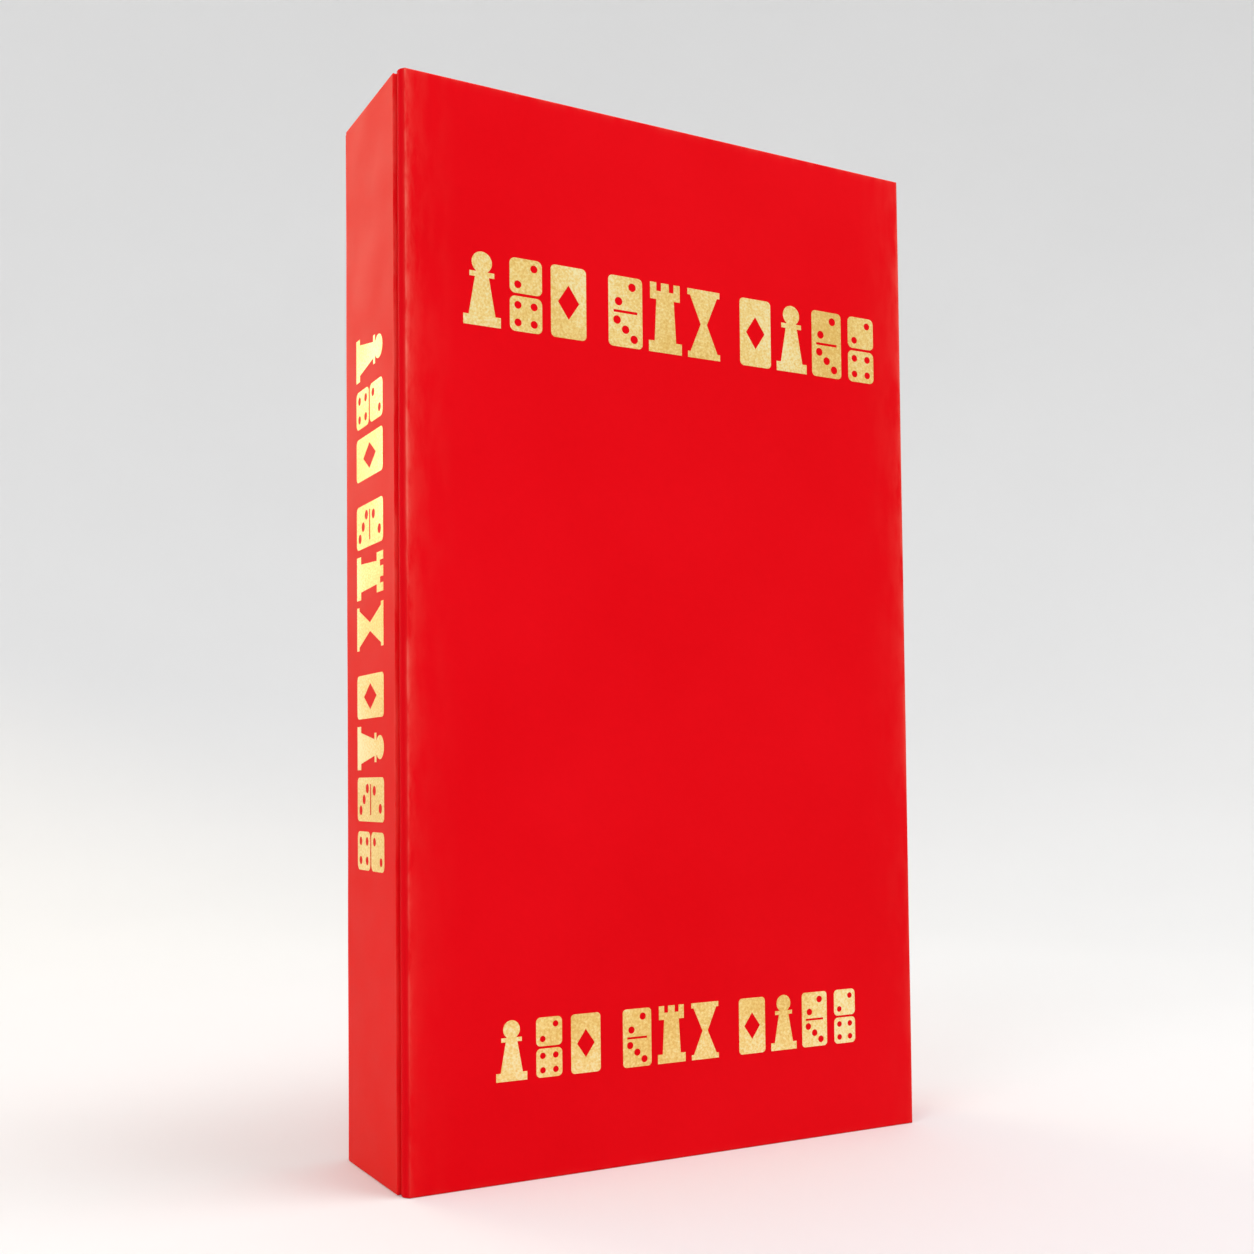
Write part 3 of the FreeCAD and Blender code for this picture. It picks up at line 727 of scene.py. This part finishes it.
def paper_floor():
    """Matt white studio paper."""
    n = Nodes("studio_paper")
    tint = n.ramp(n.noise(2.0, 2), [(0.3, (0.862, 0.868, 0.870)), (0.7, (0.878, 0.884, 0.886))])
    rough = n.span(n.noise(5), 0.85, 0.95)
    return n.finish(tint, rough, n.bump(n.noise(400, 2), 0.00001), Specular_IOR_Level=0.15)


# ---------------------------------------------------------------- room, light, camera

def studio_bowl(material):
    """A round white floor that curves up into a wall on every side."""
    profile = [(0.02, 0.0)] + [(reach, 0.0) for reach in steps(0.3, FLAT, 0.35)]
    for step in range(1, CURVE_STEPS + 1):
        angle = math.radians(90 * step / CURVE_STEPS)
        profile.append((FLAT + CURVE * math.sin(angle), CURVE * (1 - math.cos(angle))))
    profile.append((FLAT + CURVE, CURVE + WALL))
    points = []
    for reach, level in profile:
        for turn in range(TURNS):
            angle = 2 * math.pi * turn / TURNS
            points.append((reach * math.cos(angle), reach * math.sin(angle), level))
    rings = [range(ring * TURNS, (ring + 1) * TURNS) for ring in range(len(profile))]
    faces = []
    for first, second in zip(rings, rings[1:]):
        faces += loop_band(first, second)
    faces.append(tuple(rings[0]))
    mesh = bpy.data.meshes.new("studio_floor")
    mesh.from_pydata(points, [], faces)
    mesh.materials.append(material)
    mesh.polygons.foreach_set("use_smooth", [True] * len(faces))
    bowl = bpy.data.objects.new("studio_floor", mesh)
    bpy.context.scene.collection.objects.link(bowl)


def soft_light(name, place, aim, size, spread, power, tone):
    """A soft box at place, facing aim; a spread below 180 degrees is a grid on its front."""
    data = bpy.data.lights.new(name, "AREA")
    data.shape = "RECTANGLE"
    data.size, data.size_y = size
    data.spread = math.radians(spread)
    data.energy = power
    data.color = tone
    light = bpy.data.objects.new(name, data)
    light.location = place
    light.visible_camera = False
    light.rotation_mode = "QUATERNION"
    light.rotation_quaternion = (Vector(aim) - Vector(place)).to_track_quat("-Z", "Y")
    bpy.context.scene.collection.objects.link(light)


def lights():
    """Four soft boxes and an even pale sky."""
    for light in SOFT_LIGHTS:
        soft_light(*light)
    world = bpy.data.worlds.new("studio")
    world.use_nodes = True
    sky = world.node_tree.nodes["Background"]
    sky.inputs[0].default_value = SKY_TONE
    sky.inputs[1].default_value = SKY_POWER
    bpy.context.scene.world = world
    bpy.context.scene.view_settings.view_transform = "Standard"


def camera():
    """The photograph's view: from the front left, a little below the box's middle height."""
    corner = Vector((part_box("spine_wrap")[0].x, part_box("front_wrap")[0].y, 0))
    ahead = Vector((math.sin(YAW), math.cos(YAW), 0))
    right = Vector((math.cos(YAW), -math.sin(YAW), 0))
    up = Vector((0, 0, 1))
    look = ahead * math.cos(PITCH) + up * math.sin(PITCH)
    top = up * math.cos(PITCH) - ahead * math.sin(PITCH)
    side = right * math.cos(ROLL) + top * math.sin(ROLL)
    top = top * math.cos(ROLL) - right * math.sin(ROLL)
    data = bpy.data.cameras.new("camera")
    data.sensor_width = SENSOR
    data.lens = LENS
    data.shift_y = SHIFT_Y
    eye = bpy.data.objects.new("camera", data)
    place = Matrix((side, top, -look)).transposed().to_4x4()
    place.translation = corner + EYE
    eye.matrix_world = place
    bpy.context.scene.collection.objects.link(eye)
    bpy.context.scene.camera = eye


# ---------------------------------------------------------------- build

def dress(node, material):
    """Give a CAD node its material."""
    mesh = frame["nodes"][node].data
    mesh.materials.clear()
    mesh.materials.append(material)


def build():
    """Materials on the CAD nodes, and the pieces that stand for some of them."""
    red, gold, lining = red_paper("red_laminated_paper", 1.0, 0.20), gold_foil(), lining_paper()
    # the hinge paper is the red paper painted darker and with less sheen: painted shade in the
    # hinge's groove and strip
    shaded_red_hinge = red_paper("red_hinge_paper_painted_shade", 0.92, 0.04)
    card, grey, kraft = black_card(), greyboard(), kraft_tape()
    finishes = {
        "red_wrap": red, "gold_foil": gold, "lining_paper": lining, "greyboard": grey,
        "tape": kraft, "insert_card": card,
        "magnet": metal("nickel_plate", (0.55, 0.55, 0.56), (0.72, 0.72, 0.73), 0.15, 0.3),
        "keeper_steel": metal("plain_steel", (0.38, 0.38, 0.39), (0.5, 0.5, 0.51), 0.3, 0.5),
    }
    for part in frame["record"]["subparts"]:
        dress(part["node"], finishes[part["material_slot"]])

    panels = panel_frames()
    for name, panel in panels.items():
        piece = slab_piece(f"{name}_panel", panel, [red])
        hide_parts(f"{name}_wrap", f"{name}_board")
        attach(piece, panel["body"])
    hinges(panels, [shaded_red_hinge, lining])
    lining_piece("cover_lining", "front_lining", panels["front"], [lining], COVER, False)
    lining_piece("flap_inner_lining", "flap_lining", panels["flap"], [lining], FLAP, True)
    tray_paper([red])
    for node in ("insert_deck", "wide_well_bottom", "card_well_spine_side",
                 "card_well_flap_side", "wide_well_top"):
        soften(frame["nodes"][node], INSERT_EDGE)


build()
studio_bowl(paper_floor())
lights()
camera()
